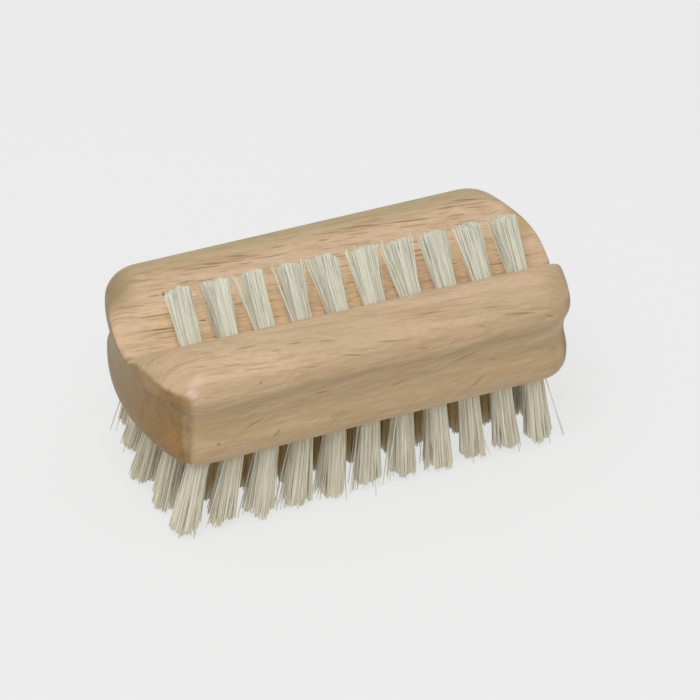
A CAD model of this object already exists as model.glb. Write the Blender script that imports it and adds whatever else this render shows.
import math
import random

import bpy
from mathutils import Matrix, Vector


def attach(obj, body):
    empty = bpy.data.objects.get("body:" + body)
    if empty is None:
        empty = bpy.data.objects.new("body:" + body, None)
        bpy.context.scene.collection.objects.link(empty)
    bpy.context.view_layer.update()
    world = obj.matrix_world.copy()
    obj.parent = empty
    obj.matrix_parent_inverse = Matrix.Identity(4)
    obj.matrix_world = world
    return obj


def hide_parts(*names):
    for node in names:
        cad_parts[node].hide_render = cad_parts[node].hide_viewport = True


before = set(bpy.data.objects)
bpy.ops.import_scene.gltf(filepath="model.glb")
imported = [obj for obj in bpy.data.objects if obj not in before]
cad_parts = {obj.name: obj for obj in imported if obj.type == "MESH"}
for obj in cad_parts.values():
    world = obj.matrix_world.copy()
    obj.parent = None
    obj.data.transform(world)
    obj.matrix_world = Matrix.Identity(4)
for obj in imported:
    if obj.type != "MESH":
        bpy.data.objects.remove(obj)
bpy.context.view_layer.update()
scene = bpy.context.scene
mm = 0.001
weldGap = 0.001


# small helpers

def clearSelection():
    if bpy.context.object and bpy.context.object.mode != "OBJECT":
        bpy.ops.object.mode_set(mode="OBJECT")
    bpy.ops.object.select_all(action="DESELECT")


def pick(*pieces):
    clearSelection()
    for piece in pieces:
        piece.select_set(True)
    bpy.context.view_layer.objects.active = pieces[0]


def editOn():
    bpy.ops.object.mode_set(mode="EDIT")
    bpy.ops.mesh.select_mode(type="VERT")


def editOff():
    bpy.ops.object.mode_set(mode="OBJECT")


def settle(piece):  # bakes the object's place into its mesh
    piece.data.transform(piece.matrix_world)
    piece.matrix_world = Matrix.Identity(4)
    bpy.context.view_layer.update()


def extrudeBy(step):
    bpy.ops.mesh.extrude_region_move(TRANSFORM_OT_translate={"value": step})


def drawLine(name, points):  # an edge chain, drawn point by point
    clearSelection()
    bpy.ops.mesh.primitive_plane_add(size=mm, location=points[0])
    line = bpy.context.object
    line.name = name
    editOn()
    bpy.ops.mesh.select_all(action="SELECT")
    bpy.ops.mesh.merge(type="CENTER")
    for a, b in zip(points, points[1:]):
        extrudeBy(Vector(b) - Vector(a))
    editOff()
    settle(line)
    return line


def addModifier(piece, kind, **settings):
    pick(piece)
    modifier = piece.modifiers.new(kind.title(), kind)
    for key, value in settings.items():
        setattr(modifier, key, value)
    bpy.ops.object.modifier_apply(modifier=modifier.name)


def faceOutwards(piece):
    pick(piece)
    editOn()
    bpy.ops.mesh.select_all(action="SELECT")
    bpy.ops.mesh.remove_doubles(threshold=weldGap * mm)
    bpy.ops.mesh.normals_make_consistent(inside=False)
    editOff()


# shader helpers

def newMaterial(name):
    made = bpy.data.materials.new(name)
    made.use_nodes = True
    made.node_tree.nodes.clear()
    return made, made.node_tree


def addNode(tree, kind, **settings):
    made = tree.nodes.new(kind)
    for key, value in settings.items():
        setattr(made, key, value)
    return made


def feed(tree, value, socket):  # sets a number or a colour, links a socket, and leaves it alone at None
    if isinstance(value, (int, float, tuple)):
        socket.default_value = value
    elif value is not None:
        tree.links.new(value, socket)


def addMath(tree, operation, first, second=None, third=None):
    made = addNode(tree, "ShaderNodeMath", operation=operation)
    for socket, value in zip(made.inputs, (first, second, third)):
        feed(tree, value, socket)
    return made.outputs[0]


def addProduct(tree, *values):
    product = values[0]
    for value in values[1:]:
        product = addMath(tree, "MULTIPLY", product, value)
    return product


def addWindow(tree, value, low, high, start=0, end=1):  # a soft step from start to end
    made = addNode(tree, "ShaderNodeMapRange", interpolation_type="SMOOTHSTEP")
    names = ("Value", "From Min", "From Max", "To Min", "To Max")
    for name, number in zip(names, (value, low, high, start, end)):
        feed(tree, number, made.inputs[name])
    return made.outputs["Result"]


def addZone(tree, measures, steps):  # the product of soft steps, each along one of the measures
    return addProduct(tree, *[addWindow(tree, measures[name], *step) for name, *step in steps])


def addMix(tree, mask, low, high):  # a mix node's colours are its inputs 6 and 7 and its output 2
    made = addNode(tree, "ShaderNodeMix", data_type="RGBA")
    for socket, value in ((made.inputs["Factor"], mask), (made.inputs[6], low), (made.inputs[7], high)):
        feed(tree, value, socket)
    return made.outputs[2]


def mixShaders(tree, share, first, second):
    mix = addNode(tree, "ShaderNodeMixShader")
    for value, socket in zip((share, first.outputs[0], second.outputs[0]), mix.inputs):
        feed(tree, value, socket)
    return mix


def endTree(tree, shader, kind="ShaderNodeOutputMaterial"):
    out = addNode(tree, kind)
    tree.links.new(shader.outputs[0], out.inputs["Surface"])


def fromScreen(r, g, b):  # a screen colour, 0 to 255, as a linear one
    linear = [(c / 255) / 12.92 if c < 10.3 else ((c / 255 + 0.055) / 1.055) ** 2.4 for c in (r, g, b)]
    return (*linear, 1)


def readPlace(tree):  # the piece's own coordinates, in metres as they are and in millimetres by axis
    source = addNode(tree, "ShaderNodeTexCoord")
    inMillimetres = addNode(tree, "ShaderNodeVectorMath", operation="SCALE")
    inMillimetres.inputs["Scale"].default_value = 1 / mm
    tree.links.new(source.outputs["Object"], inMillimetres.inputs[0])
    axes = addNode(tree, "ShaderNodeSeparateXYZ")
    tree.links.new(inMillimetres.outputs[0], axes.inputs[0])
    x, y, z = axes.outputs
    return {"place": source.outputs["Object"], "normal": source.outputs["Normal"], "x": x, "y": y, "z": z,
            "alongRow": addMath(tree, "ABSOLUTE", x), "acrossRow": addMath(tree, "ABSOLUTE", y)}


# camera, at the photograph's viewing angle

camera = {
    "pixels": 700,
    "place": (-0.2263, -0.5213, 0.4553),
    "lens": 177.31,
    "sensor": 36,
    "nearest": 0.01,
    "azimuth": -23.74,
    "elevation": 37.319,
    "roll": 1.194,
}


def cameraTurn():  # the camera's right, up and back, as the columns of a matrix
    turn = math.radians(camera["azimuth"])
    rise = math.radians(camera["elevation"])
    roll = math.radians(camera["roll"])
    back = Vector((math.sin(turn) * math.cos(rise), -math.cos(turn) * math.cos(rise), math.sin(rise)))
    level = Vector((0, 0, 1)).cross(back).normalized()
    upright = back.cross(level)
    right = level * math.cos(roll) + upright * math.sin(roll)
    up = upright * math.cos(roll) - level * math.sin(roll)
    return Matrix((right, up, back)).transposed()


def sightThrough(x, y):  # the way from the camera through a pixel of the photograph
    half = camera["pixels"] / 2
    away = camera["pixels"] * camera["lens"] / camera["sensor"]
    return (cameraTurn() @ Vector((x - half, half - y, -away))).normalized()


def setCamera():
    data = bpy.data.cameras.new("camera")
    data.lens = camera["lens"]
    data.sensor_width = camera["sensor"]
    data.clip_start = camera["nearest"]
    holder = bpy.data.objects.new("camera", data)
    holder.matrix_world = Matrix.Translation(camera["place"]) @ cameraTurn().to_4x4()
    scene.collection.objects.link(holder)
    scene.camera = holder


# floor, lamps and world

studio = {
    "backdrop": (0.838, 0.838, 0.838),
    "paper": (0.8, 0.8, 0.8),
    "floorGlow": (0.872, 0.872, 0.872),
    "shadowShare": 0.2,
    "glowShare": 0.4,
    "floorSize": 6.0,
    "ambient": 0.55,
    "keyPower": 2.05,
    "keySize": 0.4,
    "keyDistance": 0.7,
    "keyFrom": (-0.26, -0.34, 0.9),
}


def seenStraight(tree):  # 1 where the camera or a reflection looks, 0 where light spreads
    path = addNode(tree, "ShaderNodeLightPath")
    return addMath(tree, "MAXIMUM", path.outputs["Is Camera Ray"], path.outputs["Is Glossy Ray"])


def setWorld():
    world = bpy.data.worlds.new("studio")
    scene.world = world
    world.use_nodes = True
    tree = world.node_tree
    tree.nodes.clear()
    ambient = addNode(tree, "ShaderNodeBackground")
    ambient.inputs["Color"].default_value = (1, 1, 1, 1)
    ambient.inputs["Strength"].default_value = studio["ambient"]
    backdrop = addNode(tree, "ShaderNodeBackground")
    backdrop.inputs["Color"].default_value = (*studio["backdrop"], 1)
    mix = mixShaders(tree, seenStraight(tree), ambient, backdrop)
    endTree(tree, mix, "ShaderNodeOutputWorld")


def setFloor():
    clearSelection()
    bpy.ops.mesh.primitive_plane_add(size=studio["floorSize"], location=(0, 0, 0))
    floor = bpy.context.object
    floor.name = "floor"
    made, tree = newMaterial("floorPaper")
    paper = addNode(tree, "ShaderNodeBsdfDiffuse")
    paper.inputs["Color"].default_value = (*studio["paper"], 1)
    glow = addNode(tree, "ShaderNodeEmission")
    glow.inputs["Color"].default_value = (*studio["floorGlow"], 1)
    share = addNode(tree, "ShaderNodeMapRange")
    share.inputs["To Min"].default_value = studio["glowShare"]
    share.inputs["To Max"].default_value = 1 - studio["shadowShare"]
    tree.links.new(seenStraight(tree), share.inputs["Value"])
    endTree(tree, mixShaders(tree, share.outputs["Result"], paper, glow))
    floor.data.materials.append(made)


def setLamp():
    data = bpy.data.lights.new("keyLamp", "AREA")
    data.shape = "DISK"
    data.size = studio["keySize"]
    data.energy = studio["keyPower"]
    lamp = bpy.data.objects.new("keyLamp", data)
    way = Vector(studio["keyFrom"]).normalized()
    lamp.matrix_world = (Matrix.Translation(way * studio["keyDistance"])
                         @ way.to_track_quat("Z", "Y").to_matrix().to_4x4())
    scene.collection.objects.link(lamp)


scene.view_settings.view_transform = "Standard"
setCamera()
setWorld()
setFloor()
setLamp()
print("camera and studio are set")


# beech block

block = {
    "length": 95,
    "width": 47,
    "height": 22,
    "underside": 19.5,
    "endRadius": 51.5,
    "cornerRadius": 8.4,
    "bulgeHeight": 15.4,
    "shoulderWidth": 10,
    "shoulderFullness": 2.27,
    "shoulderShare": 0.985,
    "shoulderSteps": 16,
    "grooveLow": 4.6,
    "grooveTop": 14.5,
    "grooveDepth": 1.4,
    "grooveSteps": 16,
    "lipInset": 0.2,
    "edgeRadius": 1.9,
    "edgeSteps": 8,
    "cornerSteps": 16,
    "endSteps": 32,
    "seamGap": 0.005,
    "voxel": 0.5,
    "sanding": 5,
    "sandingFactor": 0.5,
    "endSanding": 14,
    "endsFrom": 41,
    "endsEase": 3,
    "waistFill": 0.8,
    "waistHeights": (22.5, 35.5),
    "sharpAngle": 40,
}
channel = {
    "depth": 7.9,
    "offset": 2.9,
    "turn": 1.2,
    "frontSlope": 42,
    "backSlope": 24.5,
    "frontRound": 4,
    "backRound": 9,
    "roundSteps": 10,
    "bottomRound": 1.5,
    "bottomSteps": 8,
    "overrun": 2,
}
lowerBristles = {
    "rowShares": (-1, -0.5, 0, 0.5, 1),
    "rowNames": ("front_tuft", "front_inner_tuft", "middle_row_tufts", "back_inner_tuft", "back_tuft"),
    "inRow": 11,
    "halfLength": 38.3,
    "outerShort": 1.6,
    "outerRow": 17.2,
    "fanHeight": 220,
    "boreDepth": 6.5,
}
topBristles = {
    "inRow": 10,
    "halfLength": 35.9,
    "shift": 2.3,
    "rise": 2.9,
    "boreDepth": 6.5,
}
bores = {
    "radius": 2.3,
    "overrun": 1.5,
    "sides": 32,
}


def arcPoints(centre, radius, start, end, steps):
    return [(centre[0] + radius * math.cos(math.radians(start + (end - start) * i / steps)),
             centre[1] + radius * math.sin(math.radians(start + (end - start) * i / steps)))
            for i in range(steps + 1)]


def sideProfile():  # (inset, height) from the underside up to the top of a ridge
    b = block
    points = [(b["lipInset"] + b["edgeRadius"] - x, b["edgeRadius"] - y)
              for x, y in arcPoints((0, 0), b["edgeRadius"], 90, 0, b["edgeSteps"])]
    half = (b["grooveTop"] - b["grooveLow"]) / 2
    radius = (half ** 2 + b["grooveDepth"] ** 2) / (2 * b["grooveDepth"])
    reach = math.degrees(math.asin(half / radius))
    points += arcPoints((b["lipInset"] + b["grooveDepth"] - radius, b["grooveLow"] + half),
                        radius, -reach, reach, b["grooveSteps"])
    points.append((0, b["bulgeHeight"]))
    last = b["cornerRadius"] * b["shoulderShare"]  # just short of the corner's centre
    for i in range(1, b["shoulderSteps"] + 1):
        inset = last * (i / b["shoulderSteps"]) ** 2
        share = 1 - (1 - inset / b["shoulderWidth"]) ** b["shoulderFullness"]
        rise = (b["height"] - b["bulgeHeight"]) * share ** (1 / b["shoulderFullness"])
        points.append((inset, b["bulgeHeight"] + rise))
    points[-1] = (last, b["height"])
    return points


def makeBody():
    b = block
    endX = b["length"] / 2 - b["endRadius"]
    cornerY = b["width"] / 2 - b["cornerRadius"]
    cornerX = endX + math.sqrt((b["endRadius"] - b["cornerRadius"]) ** 2 - cornerY ** 2)
    halfEnd = math.asin(cornerY / (b["endRadius"] - b["cornerRadius"]))
    cornerTurn = math.pi / 2 - halfEnd
    body = drawLine("block_wood", [
        (-cornerX * mm, -(b["width"] / 2 - inset) * mm, (b["underside"] + z) * mm)
        for inset, z in sideProfile()])
    pick(body)
    editOn()
    bpy.ops.mesh.select_all(action="SELECT")
    for side in (1, -1):  # the profile is swept round the plan in eight strokes
        extrudeBy((side * 2 * cornerX * mm, 0, 0))
        for x, y, angle, steps in ((cornerX, -cornerY, cornerTurn, b["cornerSteps"]),
                                   (endX, 0, 2 * halfEnd, b["endSteps"]),
                                   (cornerX, cornerY, cornerTurn, b["cornerSteps"])):
            bpy.ops.mesh.spin(steps=steps, angle=-angle, axis=(0, 0, 1),
                              center=(side * x * mm, side * y * mm, 0))
    bpy.ops.mesh.select_all(action="SELECT")
    bpy.ops.mesh.remove_doubles(threshold=b["seamGap"] * mm)
    bpy.ops.mesh.select_all(action="DESELECT")
    bpy.ops.mesh.select_non_manifold(extend=False)
    bpy.ops.mesh.fill_holes(sides=0)
    editOff()
    faceOutwards(body)
    return body


def makeChannelCutter():
    c, top = channel, block["height"]
    front, back = math.radians(c["frontSlope"]), math.radians(c["backSlope"])
    floorZ = top - c["depth"]
    frontY = -c["offset"] - c["depth"] / math.tan(front) - c["frontRound"] * math.tan(front / 2)
    backY = -c["offset"] + c["depth"] / math.tan(back) + c["backRound"] * math.tan(back / 2)
    lift = c["bottomRound"] / math.cos((front + back) / 2)
    tilt = (front - back) / 2
    bottom = (-c["offset"] + lift * math.sin(tilt), floorZ + lift * math.cos(tilt))
    outline = [(frontY, top + c["overrun"])]
    outline += arcPoints((frontY, top - c["frontRound"]), c["frontRound"],
                         90, 90 - c["frontSlope"], c["roundSteps"])
    outline += arcPoints(bottom, c["bottomRound"],
                         270 - c["frontSlope"], 270 + c["backSlope"], c["bottomSteps"])
    outline += arcPoints((backY, top - c["backRound"]), c["backRound"],
                         90 + c["backSlope"], 90, c["roundSteps"])
    outline.append((backY, top + c["overrun"]))
    startX = -block["length"] / 2 - c["overrun"]
    cutter = drawLine("channelCutter", [
        (startX * mm, y * mm, (block["underside"] + z) * mm) for y, z in outline])
    pick(cutter)
    editOn()
    bpy.ops.mesh.select_all(action="SELECT")
    bpy.ops.mesh.edge_face_add()
    extrudeBy((-2 * startX * mm, 0, 0))
    editOff()
    cutter.data.transform(Matrix.Rotation(math.radians(-c["turn"]), 4, "Z"))
    faceOutwards(cutter)
    return cutter


def scrubPlace(row, number):  # root and direction of a lower tuft, in millimetres
    share = lowerBristles["rowShares"][row]
    half = lowerBristles["halfLength"] - lowerBristles["outerShort"] * share * share
    x = half * (2 * number / (lowerBristles["inRow"] - 1) - 1)
    y = share * lowerBristles["outerRow"]
    return Vector((x, y, block["underside"])), Vector((x, y, -lowerBristles["fanHeight"])).normalized()


def topPlace(number):  # root and direction of a top tuft, in millimetres
    slope = math.radians(channel["frontSlope"])
    turned = Matrix.Rotation(math.radians(-channel["turn"]), 3, "Z")
    x = topBristles["shift"] + topBristles["halfLength"] * (2 * number / (topBristles["inRow"] - 1) - 1)
    root = Vector((x, -channel["offset"] - topBristles["rise"] * math.cos(slope),
                   block["underside"] + block["height"] - channel["depth"]
                   + topBristles["rise"] * math.sin(slope)))
    return turned @ root, turned @ Vector((0, math.sin(slope), math.cos(slope)))


def placing(root, way):  # a frame in metres: its Z axis runs out of the bore, its X axis with the block
    across = (Vector((1, 0, 0)) - way * way.x).normalized()
    turned = Matrix((across, way.cross(across), way)).transposed().to_4x4()
    return Matrix.Translation(root * mm) @ turned


def makeBoreCutter():
    places = [(*scrubPlace(row, i), lowerBristles["boreDepth"])
              for row in range(len(lowerBristles["rowShares"])) for i in range(lowerBristles["inRow"])]
    places += [(*topPlace(i), topBristles["boreDepth"]) for i in range(topBristles["inRow"])]
    clearSelection()
    bpy.ops.mesh.primitive_cylinder_add(vertices=bores["sides"], radius=bores["radius"] * mm, depth=mm)
    drill = bpy.context.object
    drills = []
    for root, way, depth in places:
        cutter = bpy.data.objects.new("drill", drill.data.copy())
        middle = (bores["overrun"] - depth) / 2
        cutter.data.transform(placing(root, way) @ Matrix.Translation((0, 0, middle * mm))
                              @ Matrix.Diagonal((1, 1, depth + bores["overrun"], 1)))
        scene.collection.objects.link(cutter)
        drills.append(cutter)
    bpy.data.objects.remove(drill)
    pick(*drills)
    bpy.ops.object.join()
    return bpy.context.object


def sand(piece, passes, **where):
    addModifier(piece, "SMOOTH", factor=block["sandingFactor"], iterations=passes, **where)


def sandEnds(body):  # the ends are sanded rounder than the rest, and the groove is shallower there
    b = block
    low, high = b["waistHeights"]
    ends = body.vertex_groups.new(name="ends")
    ends.add([v.index for v in body.data.vertices if abs(v.co.x) > b["endsFrom"] * mm], 1, "REPLACE")
    sand(body, b["endSanding"], vertex_group="ends")
    waist = body.vertex_groups.new(name="waist")
    for v in body.data.vertices:
        past, height = abs(v.co.x) / mm - b["endsFrom"], v.co.z / mm
        if past > 0 and low < height < high:
            weight = math.sin(math.pi * (height - low) / (high - low)) ** 2
            waist.add([v.index], weight * min(1, past / b["endsEase"]), "REPLACE")
    addModifier(body, "DISPLACE", strength=b["waistFill"] * mm, mid_level=0, vertex_group="waist")
    body.vertex_groups.clear()


def makeBlock():
    body = makeBody()
    cutter = makeChannelCutter()
    addModifier(body, "BOOLEAN", object=cutter, operation="DIFFERENCE", solver="EXACT")
    bpy.data.objects.remove(cutter)
    addModifier(body, "REMESH", mode="VOXEL", voxel_size=block["voxel"] * mm)
    sand(body, block["sanding"])
    sandEnds(body)
    drills = makeBoreCutter()
    addModifier(body, "BOOLEAN", object=drills, operation="DIFFERENCE", solver="MANIFOLD")
    bpy.data.objects.remove(drills)
    pick(body)
    bpy.ops.object.shade_smooth_by_angle(angle=math.radians(block["sharpAngle"]))
    return body


blockPiece = makeBlock()
print("block:", len(blockPiece.data.polygons), "faces", [round(x / mm, 2) for x in blockPiece.dimensions])


# bristles

lowerBristles.update({
    "reach": 19.5,
    "coreLength": 10.5,
    "coreFlare": 2.15,
    "coreTaper": ((2.2, 0.86), (2.0, 0.76), (1.4, 0.45)),
    "crowding": 0.42,
    "strands": 350,
    "strandRadius": 0.122,
    "rootRadius": 2.06,
    "tipRadius": 3.25,
    "drift": (-0.7, 0),
    "endDrift": (-1.35, 0),
    "rowDrift": (-0.3, 0.4, -0.2, 0.2, 2.1),
    "spread": (1, 0.96, 0.9, 1, 1, 0.96, 0.9, 1.02, 0.85, 0.92, 0.98),
    "driftMiddle": -8,
    "driftReach": 32,
    "clumps": 11,
    "clumpPull": 0.33,
    "ragged": 0.7,
    "clumpRagged": 1.3,
    "pointed": 0.65,
    "dome": 0.5,
    "slant": 0.6,
    "strays": 4,
    "strayLean": 2.1,
    "sideStrands": ((9, 0),) * 11,
    "sideLean": (-2.8, 0),
    "floorTrim": True,
})
topBristles.update({
    "reach": 12.8,
    "coreLength": 7.4,
    "coreFlare": 1.85,
    "coreTaper": ((1.4, 0.88), (1.3, 0.76), (0.9, 0.45)),
    "crowding": 0.42,
    "strands": 300,
    "strandRadius": 0.112,
    "rootRadius": 2.06,
    "tipRadius": 2.45,
    "drift": (-0.25, 0),
    "endDrift": (0, 0),
    "rowDrift": (0,),
    "spread": (1, 1, 0.8, 0.86, 0.96, 1, 0.98, 0.98, 0.94, 0.96),
    "driftMiddle": 8,
    "driftReach": 45,
    "clumps": 6,
    "clumpPull": 0.1,
    "ragged": 0.35,
    "clumpRagged": 0.5,
    "pointed": 0.25,
    "dome": 0.35,
    "slant": 0.9,
    "strays": 1,
    "strayLean": 1.6,
    "sideStrands": ((0, 3), (11, 7), (7, 0), (9, 9), (13, 2), (7, 4), (15, 5), (14, 7), (12, 3), (10, 0)),
    "sideLean": (-1.9, -0.2),
    "floorTrim": False,
})
extraStrands = {  # single ones that stand out: foot and tip across the tuft, and how much shorter
    "top_tuft_05": (((2.0, 0.2), (3.9, 0.2), 4.2),),
    "top_tuft_06": (((2.0, -0.2), (4.0, -0.2), 0.4),),
    "front_tuft_11": (((2.0, 0.3), (3.9, 0.4), 0.6), ((1.9, -0.4), (4.5, -0.2), 0.1)),
    "front_tuft_06": (((1.7, 1.0), (-3.4, 1.6), 2.0), ((1.9, 0.8), (-2.6, 1.9), 1.0)),
    "front_tuft_09": (((-1.8, 0.9), (2.9, 1.8), 1.4),),
}
strand = {
    "tipShare": 0.85,
    "bends": ((0, 0), (0.25, 0.1), (-0.2, 0.22), (0.1, -0.3), (0.5, 0.35)),
    "bendScale": 8,
    "steps": 4,
    "sunken": 1.2,
    "floorGap": 0.06,
    "turnBetween": 137.508,
    "tipScatter": 0.2,
    "raggedPower": 1.5,
}
core = {
    "radius": 1.9,
    "depth": 6.4,
    "sides": 18,
    "sharpAngle": 60,
    "tone": 0.5,
}
loose = {  # the strands that stand off a bundle, and the strays in it
    "farSide": -0.75,
    "swing": 0.9,
    "leanShares": (0.6, 0.85, 1.15),
    "scatter": 0.5,
    "shorter": 1.5,
    "strayShorter": 0.8,
    "rowEase": 2.5,
}


def makeStrand(bend):  # one bristle, a metre long and a millimetre in radius until it is placed
    clearSelection()
    bpy.ops.mesh.primitive_circle_add(vertices=3, radius=mm, fill_type="NGON")
    made = bpy.context.object
    editOn()
    bpy.ops.mesh.select_all(action="SELECT")
    steps = strand["steps"]
    for i in range(steps):
        sway = (((i + 1) / steps) ** 2 - (i / steps) ** 2) * strand["bendScale"] * mm
        extrudeBy((bend[0] * sway, bend[1] * sway, 1 / steps))
        thinner = strand["tipShare"] ** (1 / steps)
        bpy.ops.transform.resize(value=(thinner, thinner, 1))
    editOff()
    faceOutwards(made)
    along = made.data.attributes.new("alongStrand", "FLOAT", "POINT")
    along.data.foreach_set("value", [v.co.z for v in made.data.vertices])
    made.data.attributes.new("strandTone", "FLOAT", "POINT")
    scene.collection.objects.unlink(made)
    return made


def makeCore(kind):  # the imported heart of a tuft, from the foot of the bore to a tapered end
    clearSelection()
    bpy.ops.mesh.primitive_circle_add(vertices=core["sides"], radius=core["radius"] * mm, fill_type="NGON",
                                      location=(0, 0, -core["depth"] * mm))
    made = bpy.context.object
    editOn()
    bpy.ops.mesh.select_all(action="SELECT")
    extrudeBy((0, 0, core["depth"] * mm))
    flaring = (kind["coreLength"] / 2, math.sqrt(kind["coreFlare"] / core["radius"]))
    for height, share in (flaring, flaring, *kind["coreTaper"]):
        extrudeBy((0, 0, height * mm))
        bpy.ops.transform.resize(value=(share, share, 1))
    editOff()
    settle(made)
    faceOutwards(made)
    bpy.ops.object.shade_smooth_by_angle(angle=math.radians(core["sharpAngle"]))
    along = made.data.attributes.new("alongStrand", "FLOAT", "POINT")
    along.data.foreach_set("value", [max(0, v.co.z / mm / kind["reach"]) for v in made.data.vertices])
    made.data.attributes.new("strandTone", "FLOAT", "POINT")
    scene.collection.objects.unlink(made)
    return made


def plant(shape, matrix, tone):
    planted = bpy.data.objects.new("strand", shape.data.copy())
    planted.data.transform(matrix)
    values = planted.data.attributes["strandTone"].data
    values.foreach_set("value", [tone] * len(values))
    scene.collection.objects.link(planted)
    return planted


def inDisc(radius):  # a point somewhere in a disc
    turn, reach = chance.uniform(0, 2 * math.pi), radius * math.sqrt(chance.random())
    return Vector((reach * math.cos(turn), reach * math.sin(turn)))


def driftOf(kind, row, root):  # how far the tips lean, and how near the tuft is to the middle of its row
    middling = max(0, 1 - ((root.x - kind["driftMiddle"]) / kind["driftReach"]) ** 2)
    drift = Vector(kind["drift"]) * middling + Vector(kind["endDrift"]) * (root.x / kind["halfLength"]) ** 2
    drift.x += kind["rowDrift"][row] * max(0, -root.x / kind["halfLength"]) ** 2
    return drift, middling


def plantCore(kind, frameHere, drift, number, turn):  # it leans and spreads as its strands do
    leaning = Matrix.Identity(4)
    leaning[0][2] = drift.x / kind["reach"]
    leaning[1][2] = drift.y / kind["reach"]
    narrowing = Matrix.Diagonal((kind["spread"][number], kind["spread"][number], 1, 1))
    return plant(kind["core"], frameHere @ leaning @ narrowing @ Matrix.Rotation(turn, 4, "Z"), core["tone"])


def plantTuft(kind, node, row, number, root, way):
    frameHere = placing(root, way)
    count = kind["strands"]
    spread = kind["tipRadius"] * kind["spread"][number]
    clumps = [(inDisc(spread), chance.uniform(0, kind["clumpRagged"])) for _ in range(kind["clumps"])]
    turn = chance.uniform(0, 360)
    trim = inDisc(kind["slant"] / kind["tipRadius"])
    drift, middling = driftOf(kind, row, root)
    planted = [plantCore(kind, frameHere, drift, number, turn)]
    for i in range(count):
        angle = math.radians(turn + i * strand["turnBetween"])
        reach = ((i + 0.5) / count) ** kind["crowding"]  # more of them outside than inside
        foot = Vector((math.cos(angle), math.sin(angle))) * reach * kind["rootRadius"]
        tip = foot * spread / kind["rootRadius"] + inDisc(strand["tipScatter"])
        clump, short = min(clumps, key=lambda c: (c[0] - tip).length)
        short += kind["ragged"] * chance.random() ** strand["raggedPower"]
        short += kind["pointed"] * (clump - tip).length
        short += kind["dome"] * (tip.length / spread) ** 2 + max(0, trim.dot(tip))
        tip = tip.lerp(clump, kind["clumpPull"]) + drift
        planted.append(plantOne(kind, frameHere, foot, tip, short))
    return planted + plantLoose(kind, node, number, frameHere, middling)


def plantLoose(kind, node, number, frameHere, middling):
    planted = []
    left, right = kind["sideStrands"][number]
    left = round(left * middling)
    sideLean = Vector(kind["sideLean"]) * min(1, loose["rowEase"] * middling)  # less at the ends of the row
    for i in range(left + right):  # along the two sides
        side = 1 if i < left else loose["farSide"]
        angle = math.pi + chance.uniform(-loose["swing"], loose["swing"])
        foot = Vector((side * math.cos(angle), math.sin(angle))) * kind["rootRadius"]
        tip = foot + sideLean * side * chance.choice(loose["leanShares"]) + inDisc(loose["scatter"])
        planted.append(plantOne(kind, frameHere, foot, tip, chance.uniform(0, loose["shorter"])))
    for i in range(kind["strays"]):
        foot = inDisc(kind["rootRadius"])
        tip = foot + inDisc(kind["strayLean"])
        planted.append(plantOne(kind, frameHere, foot, tip, chance.uniform(0, loose["strayShorter"])))
    for foot, tip, short in extraStrands.get(node, ()):
        planted.append(plantOne(kind, frameHere, Vector(foot), Vector(tip), short))
    return planted


def plantOne(kind, frameHere, foot, tip, short):
    start = frameHere @ (Vector((foot.x, foot.y, -strand["sunken"])) * mm)
    length = kind["reach"]
    end = frameHere @ (Vector((tip.x, tip.y, length)) * mm)
    line = end - start
    if kind["floorTrim"]:
        line *= (start.z - max(short, strand["floorGap"]) * mm) / -line.z
    else:
        line *= 1 - short / length
    matrix = (Matrix.Translation(start) @ line.to_track_quat("Z", "Y").to_matrix().to_4x4()
              @ Matrix.Rotation(chance.uniform(0, 2 * math.pi), 4, "Z")
              @ Matrix.Diagonal((kind["strandRadius"], kind["strandRadius"], line.length, 1)))
    return plant(chance.choice(strandShapes), matrix, chance.random())


def joinTuft(planted, name):
    pick(*planted)
    bpy.ops.object.join()
    made = bpy.context.object
    made.name = name
    made.data.name = name
    for mesh in [m for m in bpy.data.meshes if m.users == 0]:
        bpy.data.meshes.remove(mesh)
    return made


strandShapes = [makeStrand(bend) for bend in strand["bends"]]
lowerBristles["core"] = makeCore(lowerBristles)
topBristles["core"] = makeCore(topBristles)
chance = random.Random(11)
tufts = {}
for i in range(topBristles["inRow"]):
    node = f"top_tuft_{i + 1:02d}"
    tufts[node] = joinTuft(plantTuft(topBristles, node, 0, i, *topPlace(i)), node + "_bristles")
print("top bristles:", len(tufts), "tufts")
for row, rowName in enumerate(lowerBristles["rowNames"]):
    middle = []
    for i in range(lowerBristles["inRow"]):
        node = f"{rowName}_{i + 1:02d}"
        planted = plantTuft(lowerBristles, node, row, i, *scrubPlace(row, i))
        if rowName == "middle_row_tufts":
            middle += planted
        else:
            tufts[node] = joinTuft(planted, node + "_bristles")
    if middle:
        tufts[rowName] = joinTuft(middle, "middle_row_bristles")
print("lower bristles:", len(tufts) - topBristles["inRow"], "pieces")


# materials

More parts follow.
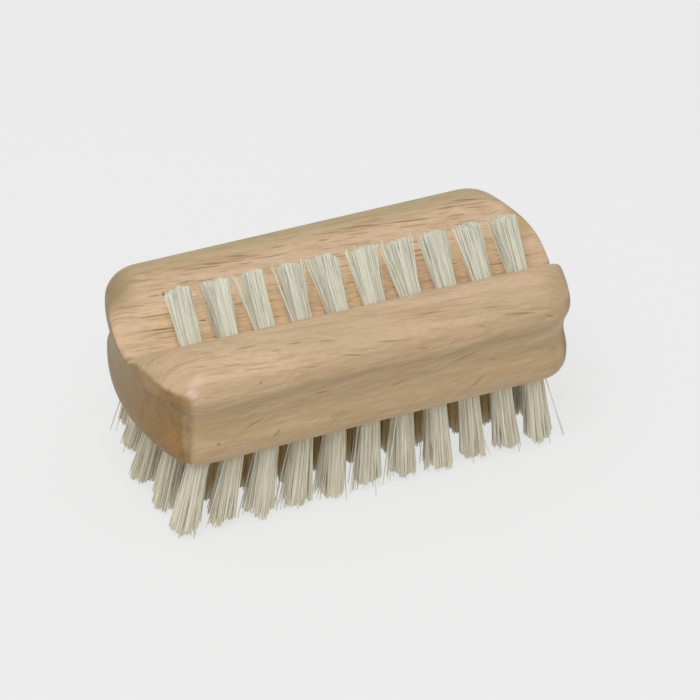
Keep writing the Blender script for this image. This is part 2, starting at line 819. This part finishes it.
def makeStreaks():  # drawn-out noise, shared by the materials
    group = bpy.data.node_groups.new("streaks", "ShaderNodeTree")
    face = group.interface
    face.new_socket("Vector", in_out="INPUT", socket_type="NodeSocketVector")
    face.new_socket("Stretch", in_out="INPUT", socket_type="NodeSocketVector")
    for name in ("From", "To", "Detail"):
        face.new_socket(name, in_out="INPUT", socket_type="NodeSocketFloat")
    face.new_socket("Mask", in_out="OUTPUT", socket_type="NodeSocketFloat")
    entry = addNode(group, "NodeGroupInput")
    leave = addNode(group, "NodeGroupOutput")
    scaled = addNode(group, "ShaderNodeVectorMath", operation="MULTIPLY")
    noise = addNode(group, "ShaderNodeTexNoise")
    noise.inputs["Scale"].default_value = 1
    group.links.new(entry.outputs["Vector"], scaled.inputs[0])
    group.links.new(entry.outputs["Stretch"], scaled.inputs[1])
    group.links.new(scaled.outputs[0], noise.inputs["Vector"])
    group.links.new(entry.outputs["Detail"], noise.inputs["Detail"])
    mask = addWindow(group, noise.outputs["Fac"], entry.outputs["From"], entry.outputs["To"])
    group.links.new(mask, leave.inputs["Mask"])
    return group


streakGroup = makeStreaks()


def addStreaks(tree, vector, stretch, low, high, detail):
    made = addNode(tree, "ShaderNodeGroup", node_tree=streakGroup)
    names = ("Vector", "Stretch", "From", "To", "Detail")
    for name, value in zip(names, (vector, stretch, low, high, detail)):
        feed(tree, value, made.inputs[name])
    return made.outputs["Mask"]


def addFlecks(tree, vector, cell, size):  # short dark rays, each one a drawn-out cell
    scaled = addNode(tree, "ShaderNodeVectorMath", operation="MULTIPLY")
    feed(tree, vector, scaled.inputs[0])
    feed(tree, cell, scaled.inputs[1])
    cells = addNode(tree, "ShaderNodeTexVoronoi")
    cells.inputs["Scale"].default_value = 1
    tree.links.new(scaled.outputs[0], cells.inputs["Vector"])
    edge = addMath(tree, "MULTIPLY", cells.outputs["Color"], size)
    inner = addMath(tree, "SUBTRACT", edge, cells.outputs["Distance"])
    return addWindow(tree, inner, 0, size * beech["fleckEdge"])


def addTurned(tree, vector, turn):
    turned = addNode(tree, "ShaderNodeMapping")
    turned.inputs["Rotation"].default_value = [math.radians(a) for a in turn]
    tree.links.new(vector, turned.inputs["Vector"])
    return turned.outputs["Vector"]


beech = {  # colours as they show on the screen, and noises: stretch, window, detail
    "tan": (201, 176, 142),
    "peach": (222, 192, 160),
    "apricot": (246, 208, 162),
    "olive": (180, 162, 119),
    "oliveDark": (136, 117, 74),
    "lowSide": (195, 170, 134),
    "streak": (178, 148, 110),
    "blotch": (190, 150, 104),
    "crestLine": (156, 134, 102),
    "frontLine": (164, 136, 96),
    "fleck": (150, 118, 76),
    "endGrain": (140, 102, 40),
    "endDark": (106, 74, 26),
    "endGrey": (145, 126, 86),
    "grainTurn": (0, 8, 6),
    "strokeTurn": (0, 24, 0),
    "broadNoise": ((16, 110, 90), 0.38, 0.62, 3),
    "broadShare": 0.6,
    "frontNoise": ((90, 900, 1300), 0.35, 0.65, 4),
    "crestNoise": ((60, 500, 700), 0.3, 0.65, 4),
    "streakNoise": ((22, 620, 380), 0.45, 0.75, 4),
    "streakShare": 0.5,
    "blotchNoise": ((90, 260, 300), 0.62, 0.75, 2),
    "blotchShare": 0.45,
    "strokeNoise": ((130, 200, 750), 0.56, 0.72, 3),
    "poreNoise": ((320, 3000, 2600), 0.35, 0.65, 3),
    "poreShare": 0.3,
    "wobbleNoise": ((220, 380, 380), 0.3, 0.7, 3),
    "mottleNoise": ((350, 420, 300), 0.35, 0.65, 5),
    "mottleShare": 0.7,
    "longFleck": ((66, 1950, 230), 0.46),
    "shortFleck": ((150, 2600, 360), 0.42),
    "sideFleck": ((150, 300, 1900), 0.4),
    "fleckEdge": 0.16,
    "shortFleckShare": 0.75,
    "fleckShare": 0.62,
    "edgeWobble": 0.07,
    "crestWobble": 0.1,
    "endShare": 0.92,
    "roughness": (0.46, 0.6),
    "specular": 0.35,
    "poreDepth": -0.5,
    "bump": 0.00003,
}
woodZones = {  # where each tone lies: a measure, where it starts and ends to change, and from what to what
    "peach": (("y", -6, 3, 0, 1), ("y", 11, 17, 1, 0)),
    "apricot": (("z", 36.5, 39.5, 0.9, 0), ("y", -6, -1, 0, 1), ("alongRow", 34, 41, 1, 0.1)),
    "olive": (("y", 12, 19, 0, 0.8),),
    "lowSide": (("upright", 0.5, 0.9, 0, 1), ("z", 26.5, 31.5, 1, 0.35)),
    "frontLine": (("upright", 0.6, 0.95, 0, 0.4),),
    "crestLine": (("z", 30.8, 33.4, 0, 1), ("z", 33.4, 36, 1, 0), ("upright", 0.6, 0.95, 0, 0.45)),
    "topFleck": (("upright", 0.75, 0.95, 1, 0.15), ("y", -14, -9, 0.55, 1)),
    "sideFleck": (("upright", 0.75, 0.95, 0, 0.6),),
    "stroke": (("upright", 0.6, 0.95, 0, 0.55),),
    "oliveDark": (("x", -37.5, -44, 0, 0.8), ("y", 6, 13, 0, 1)),
    "endShift": (("x", -30, 30, 0.07, -0.08),),
    "endGrain": (("edge", 0.5, 0.84, 0, 1),),
    "endCrest": (("z", 32.5, 35, 0, 1), ("lying", 0.28, 0.52, 0, 0.9)),
    "endGrey": (("y", -19, 8, 0, 0.8),),
}
markEdge = (0.3, 1.1)  # a spot fades between these shares of its half size
marks = (  # middle, half size and turn of a spot, its colour and strength
    ((-34.4, 9.7, 39.0), (0.4, 0.65, 1.0), (0, 0, 0), (84, 54, 34), 0.85),
    ((-36.3, 9.9, 39.1), (2.0, 0.35, 0.8), (0, 0, -3), (150, 114, 72), 0.6),
    ((-9.4, -23, 36.4), (2.4, 3.0, 0.7), (0, 0, 0), (190, 146, 94), 0.6),
    ((-10.4, -23, 23.6), (2.6, 3.0, 0.45), (0, -42, 0), (180, 138, 88), 0.5),
    ((-30.8, -23, 25.3), (2.8, 3.0, 0.7), (0, -22, 0), (182, 144, 94), 0.45),
    ((-27.4, -23, 22.2), (1.0, 3.0, 0.5), (0, 0, 0), (200, 146, 100), 0.4),
    ((8.9, -23.3, 36.5), (1.6, 2.0, 0.45), (0, 8, 0), (176, 132, 78), 0.7),
    ((4.2, -22.0, 28.1), (1.6, 2.0, 0.5), (0, -19, 0), (178, 138, 88), 0.6),
    ((21.5, -23.0, 24.4), (2.6, 2.0, 0.45), (0, -30, 0), (160, 126, 78), 0.65),
    ((-27.4, -22.2, 27.0), (3.0, 2.0, 0.4), (0, -16, 0), (156, 124, 78), 0.7),
    ((-22.8, -23.2, 24.0), (1.4, 2.0, 0.45), (0, -38, 0), (160, 126, 78), 0.75),
    ((-37.3, -22.9, 37.1), (1.5, 2.0, 0.4), (0, 11, -12), (196, 146, 96), 0.6),
    ((-26.2, -22.9, 37.5), (0.4, 0.8, 0.35), (0, 0, 0), (140, 108, 80), 0.6),
    ((-35.2, -23.0, 24.7), (0.45, 0.8, 0.4), (0, 0, 0), (128, 98, 66), 0.7),
    ((-39.6, -20.5, 38.6), (4.2, 3.6, 3.0), (0, 0, 0), (222, 190, 166), 0.25),
    ((-40.3, -21.7, 37.7), (1.8, 1.2, 1.4), (0, 0, 0), (240, 208, 194), 0.6),
    ((46.0, -16.0, 38.0), (3.2, 8.0, 4.5), (0, 0, 0), (146, 122, 80), 0.6),
    ((44.5, 8.0, 39.0), (3.4, 9.0, 3.0), (0, 0, 0), (188, 162, 106), 0.75),
    ((41.0, -17.9, 39.6), (4.0, 6.0, 2.0), (0, 0, 0), (186, 160, 110), 0.45),
    ((-29.5, 2.0, 35.7), (4.0, 3.5, 2.0), (0, 0, 0), (255, 226, 186), 0.7),
)
endMarks = (
    ((-45.8, -12.0, 35.4), (2.4, 6.0, 3.0), (0, 0, 0), (180, 150, 108), 0.4),
    ((-43.2, -17.5, 25.0), (3.0, 3.6, 4.0), (0, 0, 0), (160, 112, 44), 0.45),
    ((-46.5, 3.0, 26.0), (3.0, 9.0, 6.0), (0, 0, 0), (112, 90, 60), 0.35),
)
grainLines = (  # the longest dark lines: both ends in pixels of the photograph, read by eye, and how dark
    ((200, 265), (224, 262.5), 0.7),
    ((225, 257), (249, 255), 0.8),
    ((270, 248.5), (284, 245.5), 0.6),
    ((317, 241), (330, 239), 0.6),
    ((330, 230), (386, 223.5), 0.9),
    ((381.5, 224), (437.5, 217.5), 0.8),
    ((447, 201.5), (485, 199), 0.95),
    ((462, 208), (485, 206.5), 0.6),
    ((150, 330.5), (169, 328.5), 0.75),
    ((199, 320.5), (207, 320.5), 0.8),
    ((178, 283), (196, 280), 0.6),
    ((437, 209.5), (456, 206), 0.8),
    ((200, 353.5), (216, 352.5), 0.3),
    ((234, 349.5), (259, 344.5), 0.65),
    ((345, 317), (376, 315), 0.35),
    ((285, 344.5), (304.5, 341.5), 0.65),
    ((316.5, 342), (336.5, 340), 0.6),
    ((415, 315.5), (442.5, 310.5), 0.45),
    ((270, 351.5), (282.5, 349.5), 0.5),
    ((482.5, 308.5), (501, 306), 0.45),
    ((190, 368), (208.5, 366.5), 0.45),
    ((221.5, 367), (245, 363), 0.45),
    ((241, 370.5), (278.5, 366.5), 0.4),
    ((375, 342), (404, 340.5), 0.6),
    ((340, 355), (366, 355), 0.7),
    ((502.5, 314), (538.5, 312.5), 0.75),
    ((299, 367.5), (320, 366.5), 0.45),
    ((476, 326), (487.5, 326), 0.45),
    ((544, 314.5), (555, 317), 0.7),
    ((242.5, 409), (267.5, 404), 0.45),
    ((310, 395), (331, 390), 0.75),
    ((451, 362.5), (480, 351), 0.85),
    ((487.5, 360), (497.5, 358), 0.5),
    ((511, 356), (546, 345), 0.35),
)
lineMarks = {  # half the width of a line on level and on steep wood, and how deep it goes
    "overlap": 1.15,
    "level": 0.28,
    "steep": 0.25,
    "steepFrom": 25,
    "depth": 1.0,
    "tint": (132, 113, 65),
}


def meetWood(pixel):  # the place on the wood that a pixel of the photograph shows, and its normal
    _, place, normal, _ = blockPiece.ray_cast(camera["place"], sightThrough(*pixel))
    return place / mm, normal


def lineMark(start, end, strength):  # a thin spot drawn out along the wood between two pixels
    (start, normal), (end, _) = meetWood(start), meetWood(end)
    way = (end - start).normalized()
    slope = math.degrees(math.atan2(-normal.y, normal.z))
    turn = (slope, -math.degrees(math.asin(way.z)), math.degrees(math.atan2(way.y, way.x)))
    thin = lineMarks["steep" if slope > lineMarks["steepFrom"] else "level"]
    size = ((end - start).length / 2 * lineMarks["overlap"], thin, lineMarks["depth"])
    return (start + end) / 2, size, turn, lineMarks["tint"], strength


def addMarks(tree, vector, colour, spots):
    for place, size, turn, tint, strength in spots:
        spot = addNode(tree, "ShaderNodeMapping", vector_type="TEXTURE")
        spot.inputs["Location"].default_value = [c * mm for c in place]
        spot.inputs["Rotation"].default_value = [math.radians(a) for a in turn]
        spot.inputs["Scale"].default_value = [c * mm for c in size]
        tree.links.new(vector, spot.inputs["Vector"])
        away = addNode(tree, "ShaderNodeVectorMath", operation="LENGTH")
        tree.links.new(spot.outputs[0], away.inputs[0])
        mask = addWindow(tree, away.outputs["Value"], *markEdge, strength, 0)
        colour = addMix(tree, mask, colour, fromScreen(*tint))
    return colour


def readWood(tree):  # all that the tones go by: place, grain and the way that the surface faces
    wood = readPlace(tree)
    wood["grain"] = addTurned(tree, wood["place"], beech["grainTurn"])
    wood["slanted"] = addTurned(tree, wood["place"], beech["strokeTurn"])
    facing = addNode(tree, "ShaderNodeSeparateXYZ")
    tree.links.new(wood["normal"], facing.inputs[0])
    x, y, z = facing.outputs
    level = addMath(tree, "SQRT", addMath(tree, "ADD", addProduct(tree, x, x), addProduct(tree, y, y)))
    sideways = addMath(tree, "DIVIDE", addMath(tree, "ABSOLUTE", x), addMath(tree, "MAXIMUM", level, 0.01))
    wobble = addStreaks(tree, wood["place"], *beech["wobbleNoise"])
    wood["upright"] = addMath(tree, "ABSOLUTE", y)
    wood["lying"] = addMath(tree, "MULTIPLY_ADD", wobble, beech["crestWobble"], z)
    edge = addMath(tree, "MULTIPLY_ADD", wobble, beech["edgeWobble"], sideways)
    wood["edge"] = addMath(tree, "ADD", edge, addZone(tree, wood, woodZones["endShift"]))
    return wood


def addTint(tree, wood, colour, name, *masks, zone=None):  # a tone laid over the rest by its masks and zone
    if zone or name in woodZones:
        masks += (addZone(tree, wood, woodZones[zone or name]),)
    return addMix(tree, addProduct(tree, *masks), colour, fromScreen(*beech[name]))


def addTones(tree, wood):  # peach along the back of the channel, warm in it, olive behind, dull low down
    broad = addStreaks(tree, wood["grain"], *beech["broadNoise"])
    peachy = addMath(tree, "MAXIMUM", addProduct(tree, broad, beech["broadShare"]),
                     addZone(tree, wood, woodZones["peach"]))
    colour = addMix(tree, peachy, fromScreen(*beech["tan"]), fromScreen(*beech["peach"]))
    for name in ("apricot", "olive", "lowSide"):
        colour = addTint(tree, wood, colour, name)
    return colour


def allFlecks(tree, wood):
    short = addFlecks(tree, wood["grain"], *beech["shortFleck"])
    top = addMath(tree, "MAXIMUM", addFlecks(tree, wood["grain"], *beech["longFleck"]),
                  addProduct(tree, short, beech["shortFleckShare"]))
    top = addProduct(tree, top, addZone(tree, wood, woodZones["topFleck"]))
    side = addFlecks(tree, wood["grain"], *beech["sideFleck"])
    side = addProduct(tree, side, addZone(tree, wood, woodZones["sideFleck"]))
    return addMath(tree, "MAXIMUM", top, side)


def addGrain(tree, wood, colour, streaks, flecks):
    front = addStreaks(tree, wood["place"], *beech["frontNoise"])
    crest = addStreaks(tree, wood["grain"], *beech["crestNoise"])
    blotches = addStreaks(tree, wood["grain"], *beech["blotchNoise"])
    strokes = addStreaks(tree, wood["slanted"], *beech["strokeNoise"])
    colour = addTint(tree, wood, colour, "frontLine", front)
    colour = addTint(tree, wood, colour, "crestLine", crest)
    colour = addTint(tree, wood, colour, "streak", streaks, beech["streakShare"])
    colour = addTint(tree, wood, colour, "blotch", blotches, beech["blotchShare"])
    colour = addTint(tree, wood, colour, "fleck", flecks, beech["fleckShare"])
    return addTint(tree, wood, colour, "blotch", strokes, zone="stroke")


def addEnds(tree, wood, colour):  # end grain: darker, greyer towards the back, its edge not quite straight
    colour = addTint(tree, wood, colour, "oliveDark")
    mottle = addStreaks(tree, wood["place"], *beech["mottleNoise"])
    ends = addTint(tree, wood, fromScreen(*beech["endGrain"]), "endDark", mottle, beech["mottleShare"])
    ends = addTint(tree, wood, ends, "endGrey")
    ends = addMarks(tree, wood["place"], ends, endMarks)
    belowCrest = addMath(tree, "SUBTRACT", 1, addZone(tree, wood, woodZones["endCrest"]))
    mask = addProduct(tree, addZone(tree, wood, woodZones["endGrain"]), belowCrest, beech["endShare"])
    return addMix(tree, mask, colour, ends)


def makeBeech():
    made, tree = newMaterial("beechWood")
    wood = readWood(tree)
    streaks = addStreaks(tree, wood["grain"], *beech["streakNoise"])
    flecks = allFlecks(tree, wood)
    pores = addStreaks(tree, wood["grain"], *beech["poreNoise"])
    drawnLines = [lineMark(*line) for line in grainLines]
    colour = addGrain(tree, wood, addTones(tree, wood), streaks, flecks)
    colour = addMarks(tree, wood["place"], colour, (*marks, *drawnLines))
    colour = addEnds(tree, wood, colour)
    colour = addTint(tree, wood, colour, "streak", pores, beech["poreShare"])

    shader = addNode(tree, "ShaderNodeBsdfPrincipled")
    feed(tree, colour, shader.inputs["Base Color"])
    rough = addWindow(tree, addMath(tree, "ADD", streaks, pores), 0, 2, *beech["roughness"])
    feed(tree, rough, shader.inputs["Roughness"])
    feed(tree, beech["specular"], shader.inputs["Specular IOR Level"])
    height = addMath(tree, "SUBTRACT", addProduct(tree, pores, beech["poreDepth"]), flecks)
    bump = addNode(tree, "ShaderNodeBump")
    feed(tree, beech["bump"], bump.inputs["Distance"])
    feed(tree, height, bump.inputs["Height"])
    feed(tree, bump.outputs[0], shader.inputs["Normal"])
    endTree(tree, shader)
    return made


bristle = {
    "root": (176, 146, 98),
    "tip": (190, 178, 150),
    "inner": (226, 188, 112),
    "roughness": (0.35, 0.5),
    "ownPatch": (50, 2.5),
    "nearbyPatch": (300, 300, 120),
    "patchNoise": ((1, 1, 1), 0.3, 0.7, 2),
    "shadeWindow": (0.6, 2.0),
    "rootFrom": 0.05,
    "tipFrom": 0.97,
    "innerZone": (("acrossRow", 12.5, 14.5, 1, 0), ("alongRow", 32.5, 34.5, 1, 0), ("z", 1, 6, 0, 1)),
    "lower": {"pale": (236, 231, 209), "dull": (209, 198, 172),
              "rootReach": 0.3, "rootShare": 0.8, "tipShare": 0.4, "innerShare": 0.85, "letThrough": 0.7},
    "top": {"pale": (232, 231, 212), "dull": (212, 210, 188),
            "rootReach": 0.08, "rootShare": 0.4, "tipShare": 0.0, "innerShare": 0.0, "letThrough": 0.88},
}


def addPatches(tree, place, tone, along):  # a noise that differs from strand to strand and drifts along each
    ownPlace = addNode(tree, "ShaderNodeCombineXYZ")
    for value, scale, socket in zip((tone, along), bristle["ownPatch"], ownPlace.inputs):
        feed(tree, addProduct(tree, value, scale), socket)
    patchPlace = addNode(tree, "ShaderNodeVectorMath", operation="MULTIPLY_ADD")
    for value, socket in zip((place, bristle["nearbyPatch"], ownPlace.outputs[0]), patchPlace.inputs):
        feed(tree, value, socket)
    return addStreaks(tree, patchPlace.outputs[0], *bristle["patchNoise"])


def makeBristle(side):
    made, tree = newMaterial(side + "Fibre")
    kind = bristle[side]
    where = readPlace(tree)
    tone = addNode(tree, "ShaderNodeAttribute", attribute_name="strandTone").outputs["Fac"]
    along = addNode(tree, "ShaderNodeAttribute", attribute_name="alongStrand").outputs["Fac"]
    patches = addPatches(tree, where["place"], tone, along)
    shade = addWindow(tree, addMath(tree, "ADD", patches, tone), *bristle["shadeWindow"])
    inner = addProduct(tree, addZone(tree, where, bristle["innerZone"]), kind["innerShare"])
    root = addWindow(tree, along, bristle["rootFrom"], kind["rootReach"], kind["rootShare"], 0)
    tip = addWindow(tree, along, bristle["tipFrom"], 1, 0, kind["tipShare"])
    colour = addMix(tree, shade, fromScreen(*kind["pale"]), fromScreen(*kind["dull"]))
    for mask, name in ((inner, "inner"), (root, "root"), (tip, "tip")):
        colour = addMix(tree, mask, colour, fromScreen(*bristle[name]))
    shader = addNode(tree, "ShaderNodeBsdfPrincipled")
    feed(tree, colour, shader.inputs["Base Color"])
    feed(tree, addWindow(tree, tone, 0, 1, *bristle["roughness"]), shader.inputs["Roughness"])
    path = addNode(tree, "ShaderNodeLightPath")  # part of the light goes through the bristles
    passing = addMath(tree, "MAXIMUM", path.outputs["Is Shadow Ray"], path.outputs["Is Diffuse Ray"])
    clear = addNode(tree, "ShaderNodeBsdfTransparent")
    endTree(tree, mixShaders(tree, addProduct(tree, passing, kind["letThrough"]), shader, clear))
    return made


steel = {
    "bright": (186, 186, 184),
    "dark": (140, 141, 142),
    "drawnNoise": ((600, 4000, 4000), 0.35, 0.65, 3),
    "roughness": (0.28, 0.45),
}


def makeSteel():
    made, tree = newMaterial("drawnWire")
    place = addNode(tree, "ShaderNodeTexCoord")
    drawn = addStreaks(tree, place.outputs["Object"], *steel["drawnNoise"])
    shader = addNode(tree, "ShaderNodeBsdfPrincipled")
    feed(tree, addMix(tree, drawn, fromScreen(*steel["bright"]), fromScreen(*steel["dark"])),
         shader.inputs["Base Color"])
    feed(tree, addWindow(tree, drawn, 0, 1, *steel["roughness"]), shader.inputs["Roughness"])
    feed(tree, 1, shader.inputs["Metallic"])
    endTree(tree, shader)
    return made


def cover(piece, material):
    piece.data.materials.clear()
    piece.data.materials.append(material)


cover(blockPiece, makeBeech())
fibres = {side: makeBristle(side) for side in ("top", "lower")}
for node, piece in tufts.items():
    cover(piece, fibres["top" if node.startswith("top") else "lower"])
wire = makeSteel()
for node in ("top_anchors", "lower_anchors"):
    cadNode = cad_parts[node]
    for i in range(len(cadNode.data.materials)):
        cadNode.data.materials[i] = wire
print("materials are on")


# ties to the CAD frame

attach(blockPiece, "root")
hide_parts("block")
for node, piece in tufts.items():
    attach(piece, "root")
    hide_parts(node)

print("tied to the frame")
